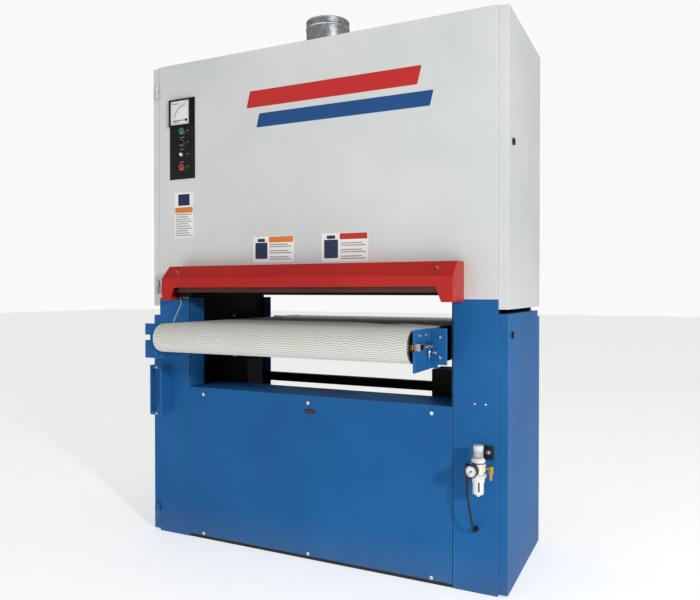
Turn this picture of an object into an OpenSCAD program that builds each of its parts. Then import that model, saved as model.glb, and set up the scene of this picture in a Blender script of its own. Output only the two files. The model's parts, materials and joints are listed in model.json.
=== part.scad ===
// Wide-belt sander: a sanding head in a light cabinet above a lifting feed table.
// +X is to the right of a person facing the infeed side, +Y is towards the outfeed side.
// The origin is on the floor, under the middle of the machine.

/* [Cabinet] */
// Width of the cabinet between its side doors
body_w = 1556; // [1500:1:1640]
// Depth of the cabinet from the front sheet to the rear sheet
body_d = 612; // [600:1:680]
// Height of the cabinet without the dust port
body_h = 2120; // [2100:1:2300]
// Width of each column beside the feed table
column_w = 165; // [150:1:180]
// Height at which the blue base meets the light upper cabinet
split_z = 1070; // [1062:1:1076]
// Thickness of the cover sheets
sheet = 3; // [2:0.5:4]
// Depth of the side doors
door_t = 36; // [32:1:42]
// Height of the blue panel between the columns
front_panel_h = 672; // [600:1:690]
// Depth of the flange along the top of that panel
panel_flange = 216; // [80:1:230]
// Height of the panel across the back
rear_panel_h = 540; // [480:1:560]
// Thickness of the base plate
base_t = 12; // [8:1:16]

/* [Feed table] */
// Width of the feed belt
feed_belt_w = 1090; // [1000:1:1096]
// Height of the feed belt's top above the floor with the table fully down
pass_z = 967; // [955:1:972]
// Diameter of the two feed rollers
feed_roller_d = 108; // [96:1:112]
// Thickness of the feed belt
feed_belt_t = 3; // [2:0.5:4]
// How far each end of the feed table reaches in front of the cabinet
table_reach = 306; // [290:1:330]
// Thickness of the roller brackets
bracket_t = 6; // [5:1:8]
// Diameter of the lift screws
lift_screw_d = 20; // [16:1:22]

/* [Sanding head] */
// Height of the abrasive's lowest point above the floor
sanding_z = 1085; // [1083:1:1090]
// Diameter of the contact drum
drum_d = 196; // [180:1:200]
// Diameter of the tension roller above it
tension_d = 118; // [100:1:130]
// Distance between the contact drum and the tension roller
belt_centres = 700; // [660:1:710]
// Width of the abrasive belt
abrasive_w = 1092; // [1000:1:1096]
// Diameter of the contact drum's shaft
drum_shaft_d = 50; // [40:1:54]
// Diameter of the hold-down rollers
hold_down_d = 60; // [50:1:64]

/* [Hood and controls] */
// Width of the red hood
hood_w = 1304; // [1290:1:1320]
// Height of the hood's top edge
hood_z = 1208; // [1200:1:1220]
// How far the hood stands out from the cabinet
hood_reach = 132; // [125:1:145]
// Diameter of the dust port
dust_d = 186; // [150:1:200]
// Height of the dust port above the cabinet
dust_h = 142; // [100:1:200]
// Width of the control plate
plate_w = 140; // [130:1:150]
// Height of the control plate
plate_h = 360; // [350:1:380]

/* [Fits] */
// Radial clearance of every shaft in its bearing
running = 0.05; // [0.03:0.01:0.09]
// Space between a belt and the rollers that it goes round
belt_gap = 0.4; // [0.3:0.1:0.6]

/* [Hidden] */
$fn = 64;
eps = 0.01;

// Cabinet
bx = body_w / 2;
fy = body_d / 2;
ox = bx - column_w;
wall = 6;
post = 34;
column_top_t = 8;

// Feed table
roller_y = fy + table_reach - feed_roller_d / 2 - belt_gap - feed_belt_t;
roller_z = pass_z - feed_roller_d / 2 - belt_gap - feed_belt_t;
bracket_x = feed_belt_w / 2 + 11;
bracket_z = [pass_z - 144, pass_z + 1];
flange_y = fy + table_reach - 190;
flange_x = bracket_x + 70;
left_flange_x = bracket_x + 56;
bracket_front = fy + table_reach - 30;
slot_h = 25;
roller_shaft_d = 30;
block_t = 16;
rear_return = 43;
housing_x = ox - 160;
housing_y = [-80, 48];
side_t = 8;
screw_x = (bracket_x + side_t + ox - wall) / 2;
nut_z = [pass_z - 174, pass_z - 94];
screw_top = pass_z - 14;

// Sanding head
abrasive_t = 1.2;
drum_z = sanding_z + drum_d / 2 + belt_gap + abrasive_t;
tension_z = drum_z + belt_centres;
head_plate_t = 12;
hold_down_y = 150;
hold_down_z = sanding_z - 2 + hold_down_d / 2;
head_shaft_d = 24;
roll_half = feed_belt_w / 2 + 5;
head_half = abrasive_w / 2 + 4;
yoke_x = head_half + 7;
yoke_t = 15;
rod_d = 30;
cylinder_d = 90;
motor_c = [165, base_t + 150];
motor_d = 220;
motor_shaft_d = 38;
pulley_x = [-ox - 90, -ox - 40];
drum_pulley_d = 140;
motor_pulley_d = 180;
drive_belt_t = 10;

// Dust port's centre
dust_x = -17;
dust_y = -100;

// Hood
hood_flat = 80;
hood_edge_z = hood_z - 55;
hood_face_z = hood_z - 92;
hood_leg_z = hood_z - 147;
bar_y = -fy - 108;
bar_z = hood_z - 83;
bar_d = 12;

// Controls
plate_x = -bx + 63 + plate_w / 2;
plate_z = 1603;
meter_x = plate_x - 5;
meter_z = plate_z + 295;
meter_w = 120;
meter_t = 14;
meter_rim = 6;
meter_pivot = 34;
operator_x = plate_x + 2;
green_z = plate_z + 213;
selector_z = plate_z + 161;
lamp_z = plate_z + 108;
red_z = plate_z + 52;
bezel_d = 30;
cap_d = 21;
bezel_t = 8;

// Air preparation unit
air = [bx - 54, -fy - 64, 374];
gauge_c = [air[0] - 13, air[2] + 97];
air_body_w = 50;
hose_d = 8;
gland = [air[0] - 25, air[2] - 139];

// Doors
hinge_gap = 8;
door_clear = 0.5;
door_inset = 3;
door_skin = 2;
upper_door_z = [1034, body_h - 4];
lower_door_z = [8, 1017];
knuckle_d = 14;
hinge_pin_d = 6;
latch_inset = 65;
upper_latch_z = 1642;
lower_latch_z = 940;
notch = [40, 26];

// Switch
switch_x = -ox - 33;
switch_z = 1073;
cable_gland = [switch_x - 30, -fy, switch_z - 148];

module block(low, high) {
    translate(low) cube(high - low);
}

module both_sides() {
    children();
    mirror([1, 0, 0]) children();
}

module both_ends() {
    children();
    mirror([0, 1, 0]) children();
}

// A round bar along X between two places
module bar_x(x0, x1, y, z, d) {
    translate([x0, y, z]) rotate([0, 90, 0]) cylinder(h = x1 - x0, d = d);
}

// A round bar along Y between two places
module bar_y(y0, y1, x, z, d) {
    translate([x, y0, z]) rotate([-90, 0, 0]) cylinder(h = y1 - y0, d = d);
}

// A round bar along Z between two places
module bar_z(z0, z1, x, y, d) {
    translate([x, y, z0]) cylinder(h = z1 - z0, d = d);
}

// A belt's closed loop round two wheels, in the plane of its own profile
module loop_2d(low_r, high_r, to) {
    hull() {
        circle(r = low_r, $fn = 96);
        translate(to) circle(r = high_r, $fn = 96);
    }
}

module loop_x(x0, x1, at, low_r, high_r, to, t) {
    translate([x0, at[0], at[1]]) rotate([90, 0, 90]) linear_extrude(x1 - x0) difference() {
        loop_2d(low_r + t, high_r + t, to);
        loop_2d(low_r, high_r, to);
    }
}

// A tube with round cross-sections along a list of points
function unit(v) = v / norm(v);
function side_of(d) = abs(d[2]) > 0.9 ? unit(cross([0, 1, 0], d)) : unit(cross([0, 0, 1], d));
function along(p, i) = unit(p[min(i + 1, len(p) - 1)] - p[max(i - 1, 0)]);
function catmull(p, i, t) = let (
    a = p[max(i - 1, 0)],
    b = p[i],
    c = p[i + 1],
    d = p[min(i + 2, len(p) - 1)]
) 0.5 * (2 * b + (c - a) * t + (2 * a - 5 * b + 4 * c - d) * t * t
    + (3 * b - a - 3 * c + d) * t * t * t);
function smooth(p, n) = concat([for (i = [0:len(p) - 2], k = [0:n - 1]) catmull(p, i, k / n)],
    [p[len(p) - 1]]);

module tube(points, d, sides) {
    rings = len(points);
    skin = [for (i = [0:rings - 1], k = [0:sides - 1]) let (
        w = along(points, i),
        u = side_of(w),
        v = cross(w, u),
        a = 360 * k / sides
    ) points[i] + d / 2 * (cos(a) * u + sin(a) * v)];
    walls = [for (i = [0:rings - 2], k = [0:sides - 1]) let (
        a = i * sides + k,
        b = i * sides + (k + 1) % sides
    ) [a, b, b + sides, a + sides]];
    start = [for (k = [sides - 1:-1:0]) k];
    finish = [for (k = [0:sides - 1]) (rings - 1) * sides + k];
    polyhedron(points = skin, faces = [for (f = concat(walls, [start, finish])) [for (i = [len(f) - 1:-1:0]) f[i]]]);
}

// ---------------------------------------------------------------- base

module base_frame() {
    color("#1c1d20") {
        difference() {
            block([-bx, -fy + sheet, 0], [bx, fy - sheet, base_t]);
            both_sides() both_ends() bar_z(-1, base_t + 1, bx - 88, fy - 56, 18);
        }
        // Rail behind the front panel, and the beam across the back
        block([-ox + wall, -fy + sheet, 600], [ox - wall, -fy + sheet + 30, front_panel_h - 20]);
        block([-ox + wall, fy - sheet - 40, 638], [ox - wall, fy - sheet, 679]);
        // Foot bearings of the lift screws
        both_sides() difference() {
            bar_z(base_t, base_t + 28, screw_x, 0, lift_screw_d + 10);
            bar_z(base_t - 1, base_t + 29, screw_x, 0, lift_screw_d + 2 * running);
        }
    }
}

module column_frame() {
    block([ox - wall, -fy + sheet, base_t], [ox, fy - sheet, split_z - column_top_t]);
    both_ends() block([bx - post, fy - sheet - post, base_t],
        [bx, fy - sheet, split_z - column_top_t]);
    block([ox - wall, -fy + sheet, split_z - column_top_t], [bx, fy - sheet, split_z]);
}

module column_frames() {
    color("#15161a") {
        column_frame();
        mirror([1, 0, 0]) difference() {
            column_frame();
            bar_x(ox - wall - 1, ox + 1, motor_c[0], motor_c[1], motor_shaft_d + 22);
            block([ox + 25, -125, split_z - column_top_t - 1], [ox + 105, 145, split_z + 1]);
        }
    }
}

// Closed boxes round the lower part of the lift screws
module lift_housings() {
    low = [housing_x, housing_y[0], base_t];
    high = [ox - wall, housing_y[1], nut_z[0] - 13];
    color("#15161a") both_sides() difference() {
        block(low, high);
        block(low + [4, 4, -1], high - [4, 4, 4]);
        bar_z(high[2] - 5, high[2] + 1, screw_x, 0, lift_screw_d + 2);
    }
}

module column_covers() {
    color("#2f62a3") both_sides() {
        block([ox - 1, -fy, 0], [bx, -fy + sheet, split_z]);
        block([ox - rear_return, fy - sheet, 0], [bx, fy, split_z]);
    }
}

module front_panel() {
    face_half = ox - 4;
    flange_half = ox - wall - 1;
    color("#2f62a3") {
        block([-face_half, -fy, 14], [face_half, -fy + sheet, front_panel_h]);
        block([-flange_half, -fy + sheet - eps, front_panel_h - sheet],
            [flange_half, -fy + panel_flange, front_panel_h]);
    }
}

module rear_panel() {
    half = ox - rear_return;
    color("#2f62a3") block([-half, fy - sheet, 14], [half, fy, rear_panel_h]);
}

// ---------------------------------------------------------------- upper cabinet

module button_holes(t) {
    for (z = [green_z, selector_z, red_z]) bar_y(-fy - 30, -fy + t, operator_x, z, cap_d + 1);
    bar_y(-fy - 30, -fy + t, operator_x, lamp_z, 10);
}

module upper_front_panel() {
    color("#c9cecd") difference() {
        block([-bx, -fy, split_z], [bx, -fy + sheet, body_h]);
        block([-ox, -fy - 1, split_z - 1], [ox, -fy + sheet + 1, hood_z - 98]);
        button_holes(sheet + 1);
        bar_y(-fy - 1, -fy + sheet + 1, meter_x, meter_z, 58);
    }
}

module upper_rear_panel() {
    color("#c9cecd") difference() {
        block([-bx, fy - sheet, split_z], [bx, fy, body_h]);
        block([-ox, fy - sheet - 1, split_z - 1], [ox, fy + 1, hood_z - 98]);
    }
}

module top_panel() {
    color("#c9cecd") difference() {
        block([-bx, -fy + sheet, body_h - sheet], [bx, fy - sheet, body_h]);
        bar_z(body_h - sheet - 1, body_h + 1, dust_x, dust_y, dust_d - 3);
    }
}

module dust_port() {
    color("#a9adaf") translate([dust_x, dust_y, body_h]) difference() {
        union() {
            cylinder(h = dust_h, d = dust_d);
            cylinder(h = 2, d = dust_d + 50);
        }
        translate([0, 0, -1]) cylinder(h = dust_h + 2, d = dust_d - 3);
    }
}

module head_plate() {
    difference() {
        block([ox, -fy + sheet, split_z], [ox + head_plate_t, fy - sheet, body_h - sheet]);
        bar_x(ox - 1, ox + head_plate_t + 1, 0, drum_z, drum_shaft_d + 2 * running);
        both_ends() bar_x(ox - 1, ox + head_plate_t + 1, hold_down_y, hold_down_z,
            head_shaft_d + 2 * running);
    }
}

module head_plates() {
    color("#3a3d42") both_sides() head_plate();
}

module infeed_hood() {
    half = hood_w / 2;
    color("#c2261f") translate([0, -fy, 0]) difference() {
        union() {
            // Sloping top
            rotate([90, 0, -90]) translate([0, 0, -half]) linear_extrude(hood_w) polygon([
                [0, hood_z],
                [hood_flat, hood_z],
                [hood_reach, hood_edge_z],
                [hood_reach, hood_edge_z - 20],
                [hood_reach - sheet, hood_edge_z - 20],
                [hood_reach - sheet, hood_edge_z - sheet / 2],
                [hood_flat - sheet / 2, hood_z - sheet],
                [0, hood_z - sheet]
            ]);
            // Upright face with a leg at each end
            translate([0, -hood_reach + sheet, 0]) rotate([90, 0, 0]) linear_extrude(sheet) polygon([
                [-half, hood_edge_z - 10],
                [-half, hood_leg_z],
                [-half + 44, hood_leg_z],
                [-half + 66, hood_face_z],
                [half - 66, hood_face_z],
                [half - 44, hood_leg_z],
                [half, hood_leg_z],
                [half, hood_edge_z - 10]
            ]);
            // End walls
            both_sides() rotate([90, 0, -90]) translate([0, 0, -half]) linear_extrude(sheet)
                polygon([
                    [0, hood_z],
                    [hood_flat, hood_z],
                    [hood_reach, hood_edge_z],
                    [hood_reach, hood_leg_z],
                    [0, hood_leg_z]
                ]);
        }
        bar_x(-half - 1, half + 1, bar_y + fy, bar_z, bar_d + 2 * running);
    }
}

module fasteners() {
    color("#d5d8da") {
        for (x = [-530, 0, 530], z = [25, front_panel_h - 29]) {
            bar_y(-fy - 4, -fy, x, z, 15);
            bar_y(-fy - eps, -fy + sheet + 9, x, z, 8);
        }
        for (x = [-hood_w / 2 + 66, hood_w / 2 - 66])
            translate([x, -fy - (hood_flat + hood_reach) / 2, (hood_z + hood_edge_z) / 2])
                rotate([atan2(hood_z - hood_edge_z, hood_reach - hood_flat), 0, 0]) translate([0, 0, -6]) cylinder(h = 14, d = 12);
        for (x = [bx - 84, bx - 44]) bar_y(-fy - 3, -fy, x, 690, 7);
    }
}

// ---------------------------------------------------------------- controls

module control_plate() {
    color("#16171a") difference() {
        block([plate_x - plate_w / 2, -fy - sheet, plate_z],
            [plate_x + plate_w / 2, -fy, plate_z + plate_h]);
        button_holes(1);
        bar_y(-fy - sheet - 1, -fy + 1, meter_x, meter_z, 58);
    }
}

module ammeter() {
    front = -fy - sheet - meter_t;
    color("#22252a") {
        difference() {
            block([meter_x - meter_w / 2, front, meter_z - meter_w / 2],
                [meter_x + meter_w / 2, -fy - sheet, meter_z + meter_w / 2]);
            block([meter_x - meter_w / 2 + meter_rim, front - 1, meter_z - meter_w / 2 + meter_rim],
                [meter_x + meter_w / 2 - meter_rim, front + 8, meter_z + meter_w / 2 - meter_rim]);
        }
        bar_y(-fy - sheet - eps, -fy + 34, meter_x, meter_z, 36);
        bar_y(front + 4, front + 8 + eps, meter_x + meter_pivot, meter_z - meter_pivot, 6);
    }
}

module ammeter_needle() {
    y = -fy - sheet - meter_t + 5;
    color("#111215") difference() {
        union() {
            bar_y(y, y + 1.5, meter_x + meter_pivot, meter_z - meter_pivot, 12);
            block([meter_x - 38, y, meter_z - meter_pivot - 1],
                [meter_x + meter_pivot - 4, y + 1.5, meter_z - meter_pivot + 1]);
        }
        bar_y(y - 1, y + 3, meter_x + meter_pivot, meter_z - meter_pivot, 6 + 2 * running);
    }
}

module control_bezels() {
    face = -fy - sheet;
    color("#c4c8cb") {
        for (z = [green_z, selector_z, red_z]) difference() {
            bar_y(face - bezel_t, face, operator_x, z, bezel_d);
            bar_y(face - bezel_t - 1, face + 1, operator_x, z, cap_d + 2 * running);
        }
        bar_y(face - 7, face, operator_x, lamp_z, 16);
        bar_y(face - eps, -fy + 20, operator_x, lamp_z, 9);
    }
}

module push_button(z, proud) {
    face = -fy - sheet;
    bar_y(face - bezel_t - proud, face + 16, operator_x, z, cap_d);
}

module start_button() {
    color("#1f8a3c") push_button(green_z, 6);
}

module stop_button() {
    color("#c81e1e") push_button(red_z, 8);
}

module selector_knob() {
    face = -fy - sheet - bezel_t;
    color("#0d0e10") {
        bar_y(face - 5, face + 16, operator_x, selector_z, cap_d);
        block([operator_x - 3.5, face - 16, selector_z - 10],
            [operator_x + 3.5, face - 5 + eps, selector_z + 10]);
    }
}

// ---------------------------------------------------------------- doors

// A door's outline, with a step out of the top corner beside the hinges
function door_outline(w, h, inset, step) = step
    ? [[inset, inset], [w - inset, inset], [w - inset, h - inset],
        [notch[0] + inset, h - inset], [notch[0] + inset, h - notch[1] - inset],
        [inset, h - notch[1] - inset]]
    : [[inset, inset], [w - inset, inset], [w - inset, h - inset], [inset, h - inset]];

// The hinges stand at the front corner of the left side
hinge_c = [-bx - hinge_gap, -fy - hinge_gap];
function hinge_heights(range) = [range[0] + 85, range[1] - 110];

module side_door(range, handle_z, step) {
    w = body_d - 2 * door_inset;
    h = range[1] - range[0];
    difference() {
        union() {
            translate([-bx - door_clear, -fy + door_inset, range[0]]) rotate([90, 0, 90])
                mirror([0, 0, 1]) linear_extrude(door_t) polygon(door_outline(w, h, 0, step));
            for (z = hinge_heights(range)) {
                bar_z(z + 0.2, z + 30, hinge_c[0], hinge_c[1], knuckle_d);
                block([hinge_c[0] - 22, hinge_c[1] + 3, z + 0.2],
                    [hinge_c[0], -fy + door_inset + eps, z + 30]);
            }
        }
        translate([-bx - door_clear, -fy + door_inset, range[0]]) rotate([90, 0, 90])
            mirror([0, 0, 1]) translate([0, 0, -1]) linear_extrude(door_t + 1 - door_skin)
                polygon(door_outline(w, h, door_skin, step));
        for (z = hinge_heights(range))
            bar_z(z - 1, z + 31, hinge_c[0], hinge_c[1], hinge_pin_d + 2 * running);
        bar_x(-bx - door_t - 2, -bx - door_t + 5, fy - latch_inset, handle_z, 10 + 2 * running);
    }
}

module door_latch(z) {
    y = fy - latch_inset;
    outer = -bx - door_clear - door_t;
    bar_x(outer - 7, outer, y, z, 26);
    bar_x(outer - eps, outer + 18, y, z, 10);
    block([outer + 14, y - 8, z - 8], [outer + 18, y + 8, z + 34]);
}

module turned() {
    rotate(180) children();
}

module upper_left_door() {
    color("#c9cecd") side_door(upper_door_z, upper_latch_z, false);
}

module upper_right_door() {
    color("#c9cecd") turned() side_door(upper_door_z, upper_latch_z, false);
}

module lower_left_door() {
    color("#2f62a3") side_door(lower_door_z, lower_latch_z, true);
}

module lower_right_door() {
    color("#2f62a3") turned() side_door(lower_door_z, lower_latch_z, true);
}

module upper_left_latch() {
    color("#2a1a1c") door_latch(upper_latch_z);
}

module upper_right_latch() {
    color("#2a1a1c") turned() door_latch(upper_latch_z);
}

module lower_left_latch() {
    color("#2a1a1c") door_latch(lower_latch_z);
}

module lower_right_latch() {
    color("#2a1a1c") turned() door_latch(lower_latch_z);
}

module fixed_hinge(z) {
    difference() {
        union() {
            bar_z(z - 30, z, hinge_c[0], hinge_c[1], knuckle_d);
            block([hinge_c[0], -fy - 3, z - 30], [hinge_c[0] + 16, -fy, z]);
        }
        bar_z(z - 31, z + 1, hinge_c[0], hinge_c[1], hinge_pin_d - 0.5);
    }
    bar_z(z - 30, z + 30, hinge_c[0], hinge_c[1], hinge_pin_d);
}

module door_hinges() {
    heights = concat(hinge_heights(upper_door_z), hinge_heights(lower_door_z));
    color("#8d9294") for (z = heights) {
        fixed_hinge(z);
        turned() fixed_hinge(z);
    }
}

// ---------------------------------------------------------------- infeed safety

module safety_bar() {
    reach = hood_w / 2 - 67;
    color("#7c1a1c") {
        bar_x(-hood_w / 2 + 0.5, hood_w / 2 - 0.5, bar_y, bar_z, bar_d);
        block([-reach, bar_y - 1.5, sanding_z + 10], [reach, bar_y + 1.5, bar_z]);
    }
}

module limit_switch() {
    color("#2b3634") {
        difference() {
            block([switch_x, -fy - 45, switch_z], [switch_x + 46, -fy, switch_z + 38]);
            bar_z(switch_z - 1, switch_z + 8, switch_x + 8, -fy - 25, 4);
        }
        difference() {
            bar_y(-fy - 14, -fy, cable_gland[0], cable_gland[2], 16);
            bar_y(-fy - 15, -fy - 6, cable_gland[0], cable_gland[2], 4);
        }
    }
}

cable_route = [
    [switch_x + 8, -fy - 25, switch_z + 8],
    [switch_x + 8, -fy - 25, switch_z - 6],
    [switch_x + 13, -fy - 27, switch_z - 22],
    [switch_x + 12, -fy - 30, switch_z - 36],
    [switch_x + 3, -fy - 33, switch_z - 56],
    [switch_x - 8, -fy - 36, switch_z - 80],
    [switch_x - 19, -fy - 40, switch_z - 106],
    [switch_x - 27, -fy - 38, switch_z - 130],
    [switch_x - 30, -fy - 26, switch_z - 144],
    [switch_x - 30, -fy - 14, switch_z - 148],
    [switch_x - 30, -fy - 6, switch_z - 148]
];

module switch_cable() {
    color("#c9cbcb") tube(smooth(cable_route, 3), 3.9, 8);
}

// ---------------------------------------------------------------- air preparation unit

module filter_regulator() {
    w = air_body_w / 2;
    color("#e8e9e7") {
        difference() {
            union() {
                block([air[0] - w, air[1] - w, air[2] + 62], [air[0] + w, air[1] + w, air[2] + 80]);
                bar_z(air[2] + 60, air[2] + 138, air[0], air[1], 44);
                block([air[0] - w, air[1] - 12, air[2] + 92], [air[0] + w, air[1] + 12, air[2] + 116]);
            }
            bar_z(air[2] + 120, air[2] + 140, air[0], air[1], 12);
            both_ports() bar_x(air[0] + w - 8, air[0] + w + 1, air[1], air[2] + 104, 14);
            bar_y(air[1] - 23, air[1] - 13, gauge_c[0], gauge_c[1], 10 + 2 * running);
        }
    }
    color("#1b1c1f") {
        block([air[0] - 8, air[1] + 21, air[2] + 118], [air[0] + 8, -fy, air[2] + 136]);
        block([air[0] - 8, -fy - 4, air[2] + 136 - eps], [air[0] + 40, -fy, air[2] + 168]);
    }
}

module both_ports() {
    children();
    translate([2 * air[0], 0, 0]) mirror([1, 0, 0]) children();
}

module regulator_knob() {
    color("#f0f1ef") {
        bar_z(air[2] + 138.2, air[2] + 181, air[0], air[1], 36);
        bar_z(air[2] + 122, air[2] + 138.2 + eps, air[0], air[1], 12 - 2 * running);
    }
}

module filter_bowl() {
    color("#dfe2e0") {
        bar_z(air[2] + 8, air[2] + 60, air[0], air[1], 40);
        bar_z(air[2], air[2] + 8 + eps, air[0], air[1], 14);
    }
}

module air_gauge() {
    front = air[1] - 50;
    color("#141518") {
        difference() {
            bar_y(front, front + 22, gauge_c[0], gauge_c[1], 46);
            bar_y(front - 1, front + 5, gauge_c[0], gauge_c[1], 41);
        }
        bar_y(front + 22 - eps, air[1] - 13, gauge_c[0], gauge_c[1], 10);
        bar_y(front + 2, front + 5 + eps, gauge_c[0], gauge_c[1], 3);
    }
}

module gauge_needle() {
    y = air[1] - 50 + 2.5;
    color("#101113") translate([gauge_c[0], y, gauge_c[1]]) rotate([0, -45, 0]) difference() {
        union() {
            rotate([-90, 0, 0]) cylinder(h = 1, d = 6);
            block([-17, 0, -0.6], [-1, 1, 0.6]);
        }
        translate([0, -1, 0]) rotate([-90, 0, 0]) cylinder(h = 3, d = 3 + 2 * running);
    }
}

module air_fittings() {
    w = air_body_w / 2;
    x = air[0] - w - 16;
    color("#1b1c1f") {
        bar_x(x, air[0] - w + 8, air[1], air[2] + 104, 14);
        difference() {
            bar_z(air[2] + 84, air[2] + 111, x, air[1], 16);
            bar_z(air[2] + 83, air[2] + 90, x, air[1], hose_d);
        }
        difference() {
            bar_y(-fy - 18, -fy, gland[0], gland[1], 20);
            bar_y(-fy - 19, -fy - 8, gland[0], gland[1], hose_d);
        }
    }
}

module inlet_fitting() {
    w = air_body_w / 2;
    x = air[0] + w + 20;
    color("#b8893a") {
        bar_x(air[0] + w - 8, x, air[1], air[2] + 104, 14);
        bar_z(air[2] + 84, air[2] + 112, x, air[1], 17);
        bar_z(air[2] + 62, air[2] + 84 + eps, x, air[1], 10);
    }
}

hose_route = [
    [air[0] - 41, air[1], air[2] + 90],
    [air[0] - 41, air[1], air[2] + 74],
    [air[0] - 41, air[1] - 1, air[2] + 50],
    [air[0] - 40, air[1] - 3, air[2] + 20],
    [air[0] - 37, air[1] - 4, air[2] - 12],
    [air[0] - 32, air[1] - 1, air[2] - 48],
    [air[0] - 27, air[1] + 5, air[2] - 86],
    [air[0] - 25, air[1] + 14, air[2] - 114],
    [air[0] - 25, air[1] + 28, air[2] - 132],
    [air[0] - 25, air[1] + 44, air[2] - 139],
    [air[0] - 25, air[1] + 56, air[2] - 139]
];

module air_hose() {
    color("#17181b") tube(smooth(hose_route, 3), hose_d - 0.1, 10);
}

// ---------------------------------------------------------------- feed table

module table_frame() {
    inner_top = pass_z - feed_belt_t - belt_gap;
    color("#1b1c20") {
        both_sides() difference() {
            union() {
                block([bracket_x, -flange_y, bracket_z[0] + 10],
                    [bracket_x + side_t, flange_y, bracket_z[1] - 5]);
                block([bracket_x + side_t - eps, -28, nut_z[0]], [ox - wall - 2, 28, nut_z[1]]);
            }
            bar_z(nut_z[0] - 1, nut_z[1] + 1, screw_x, 0, lift_screw_d + 2 * running);
        }
        for (y = [-300, 0, 300])
            block([-bracket_x - eps, y - 30, inner_top - 90], [bracket_x + eps, y + 30, inner_top - 14]);
        block([-feed_belt_w / 2 + 6, -roller_y + 64, inner_top - 14 - eps],
            [feed_belt_w / 2 - 6, roller_y - 64, inner_top]);
    }
}

// Upright plate beside the roller, with the open slot that lets its shaft move
module bracket_side() {
    difference() {
        block([bracket_x, -bracket_front, bracket_z[0]],
            [bracket_x + bracket_t, -flange_y, bracket_z[1]]);
        block([bracket_x - 1, -bracket_front - 1, roller_z - slot_h / 2],
            [bracket_x + bracket_t + 1, -roller_y + 40, roller_z + slot_h / 2]);
    }
}

module bracket_flange() {
    difference() {
        block([bracket_x, -flange_y - bracket_t, bracket_z[0] + 3],
            [flange_x, -flange_y, bracket_z[1]]);
        bar_y(-flange_y - bracket_t - 1, -flange_y + 1, bracket_x + bracket_t + 10, roller_z,
            12 + 2 * running);
        block([flange_x - 34, -flange_y - bracket_t - 1, bracket_z[0]],
            [flange_x + 1, -flange_y + 1, bracket_z[0] + 16]);
    }
}

// The left infeed bracket also has a flange at its front, slotted from the outside
module front_flange() {
    difference() {
        block([bracket_x, -bracket_front, bracket_z[0] + 4],
            [left_flange_x, -bracket_front + bracket_t, bracket_z[1]]);
        block([left_flange_x - 26, -bracket_front - 1, roller_z - 10],
            [left_flange_x + 1, -bracket_front + bracket_t + 1, roller_z + 12]);
        block([bracket_x - 1, -bracket_front - 1, roller_z - slot_h / 2],
            [bracket_x + bracket_t, -bracket_front + bracket_t + 1, roller_z + slot_h / 2]);
    }
}

module roller_brackets() {
    color("#2f62a3") {
        both_sides() both_ends() {
            bracket_side();
            bracket_flange();
        }
        mirror([1, 0, 0]) front_flange();
    }
}

module take_up_bearings() {
    x = bracket_x + bracket_t;
    color("#b9bdc0") both_sides() both_ends() {
        difference() {
            block([bracket_x, -roller_y - 14, roller_z - slot_h / 2 + 0.3],
                [x + block_t, -roller_y + 36, roller_z + slot_h / 2 - 0.3]);
            bar_x(bracket_x - 1, x + block_t + 1, -roller_y, roller_z, roller_shaft_d - 12
                + 2 * running);
        }
        bar_y(-roller_y + 36 - eps, -flange_y + 14, x + 10, roller_z, 12);
        bar_y(-flange_y - bracket_t - 56, -flange_y - bracket_t, x + 10, roller_z, 19);
    }
}

module feed_roller(y, shaft_l, shaft_r) {
    bar_x(-roll_half + 4, roll_half - 4, y, roller_z, feed_roller_d);
    bar_x(-bracket_x + 1, bracket_x - 1, y, roller_z, roller_shaft_d);
    bar_x(-shaft_l, shaft_r, y, roller_z, roller_shaft_d - 12);
}

module front_roller() {
    end = bracket_x + bracket_t + block_t + 4;
    color("#b98a5e") feed_roller(-roller_y, end, end);
}

module drive_roller() {
    end = bracket_x + bracket_t + block_t;
    color("#9ea2a5") feed_roller(roller_y, end + 4, end + 74);
}

module feed_belt() {
    r = feed_roller_d / 2 + belt_gap;
    color("#d2d3cc") loop_x(-feed_belt_w / 2, feed_belt_w / 2, [-roller_y, roller_z], r, r,
        [2 * roller_y, 0], feed_belt_t);
}

module feed_gearmotor() {
    x = bracket_x + bracket_t + block_t;
    color("#3d5a7c") {
        difference() {
            block([x, roller_y - 50, roller_z - 55], [x + 80, roller_y + 50, roller_z + 55]);
            bar_x(x - 1, x + 81, roller_y, roller_z, roller_shaft_d - 12 + 2 * running);
        }
        bar_z(roller_z - 240, roller_z - 55 + eps, x + 50, roller_y, 100);
    }
}

module scale_bracket() {
    left = -bx - 4;
    right = -bx + 60;
    color("#2f62a3") {
        difference() {
            block([left, -fy - 63, 545], [right, -fy - 60, 767]);
            translate([0, -fy - 59, 0]) rotate([90, 0, 0]) linear_extrude(5) polygon([
                [left + 5, 560],
                [right - 26, 560],
                [right - 7, 595],
                [right - 7, 752],
                [left + 5, 752]
            ]);
        }
        block([right - 3, -fy - 60 - eps, 545], [right, -fy, 767]);
        block([left, -fy - 60 - eps, 545], [left + 3, -fy - 32, 767]);
    }
}

module lift_screw() {
    bar_z(base_t + running, screw_top, screw_x, 0, lift_screw_d);
}

module left_lift_screw() {
    color("#8e9396") mirror([1, 0, 0]) lift_screw();
}

module right_lift_screw() {
    color("#8e9396") lift_screw();
}

// ---------------------------------------------------------------- sanding head

module contact_drum() {
    color("#2a2b2d") {
        bar_x(-head_half, head_half, 0, drum_z, drum_d);
        bar_x(pulley_x[0] - 10, ox + head_plate_t + 10, 0, drum_z, drum_shaft_d);
        bar_x(pulley_x[0], pulley_x[1], 0, drum_z, drum_pulley_d);
    }
}

module tension_roller() {
    color("#a4a8ab") {
        bar_x(-head_half, head_half, 0, tension_z, tension_d);
        bar_x(-yoke_x - yoke_t, yoke_x + yoke_t, 0, tension_z, head_shaft_d);
    }
}

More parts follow.
